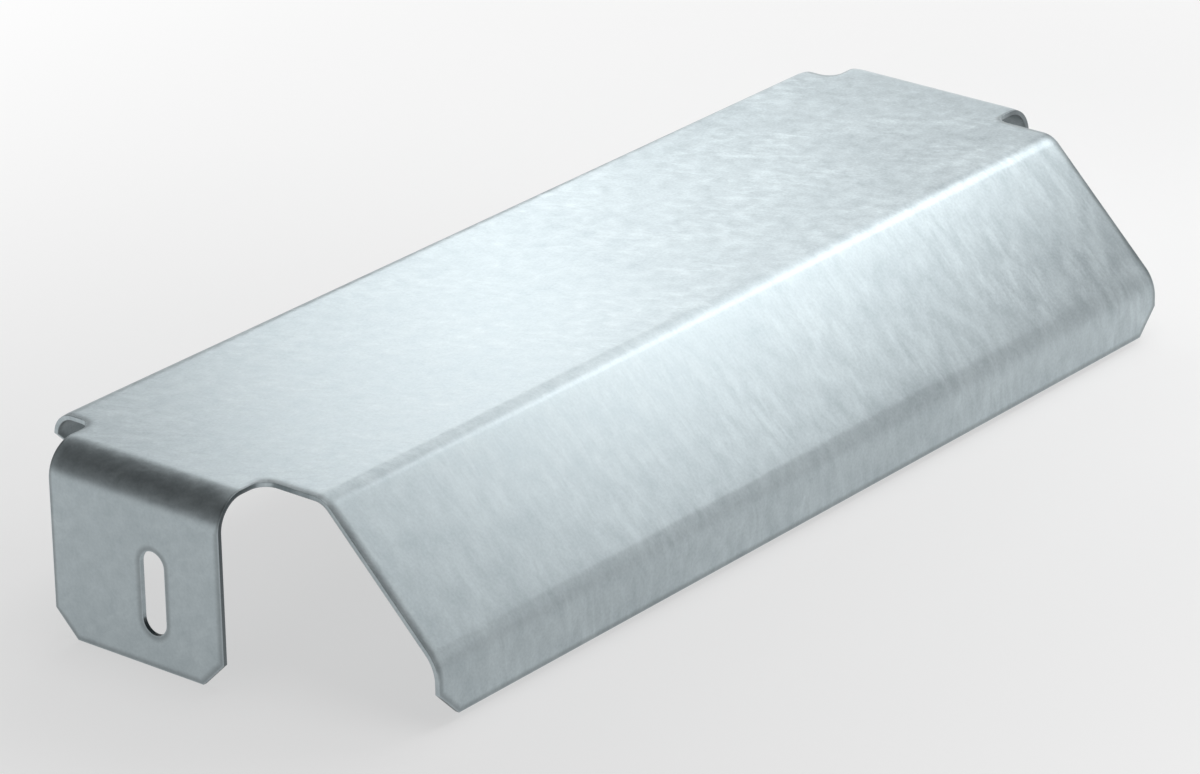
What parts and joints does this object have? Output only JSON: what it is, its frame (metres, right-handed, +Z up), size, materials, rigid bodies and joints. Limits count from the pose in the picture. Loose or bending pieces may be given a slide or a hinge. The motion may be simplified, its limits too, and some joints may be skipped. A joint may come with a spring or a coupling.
{
  "type": "cable ladder outlet plate",
  "caption": "Folded sheet-steel plate that leads cables off a cable ladder: flat top, sloping front with an upright lip, turned-down rear edge and slotted end flanges.",
  "frame": {"origin": "middle of the plate's footprint, at the height of the end flanges' lower edges", "axes": "+X along the plate from one side rail of the ladder to the other, +Y to the rear flange, away from the sloping front, +Z up"},
  "size_m": [0.3, 0.1112, 0.0455],
  "materials": {
    "galvanised_steel": "dull hot-dip galvanised coating with soft cloudy patches"
  },
  "bodies": {
    "root": {"outlet_plate": "galvanised_steel"}
  },
  "joints": []
}
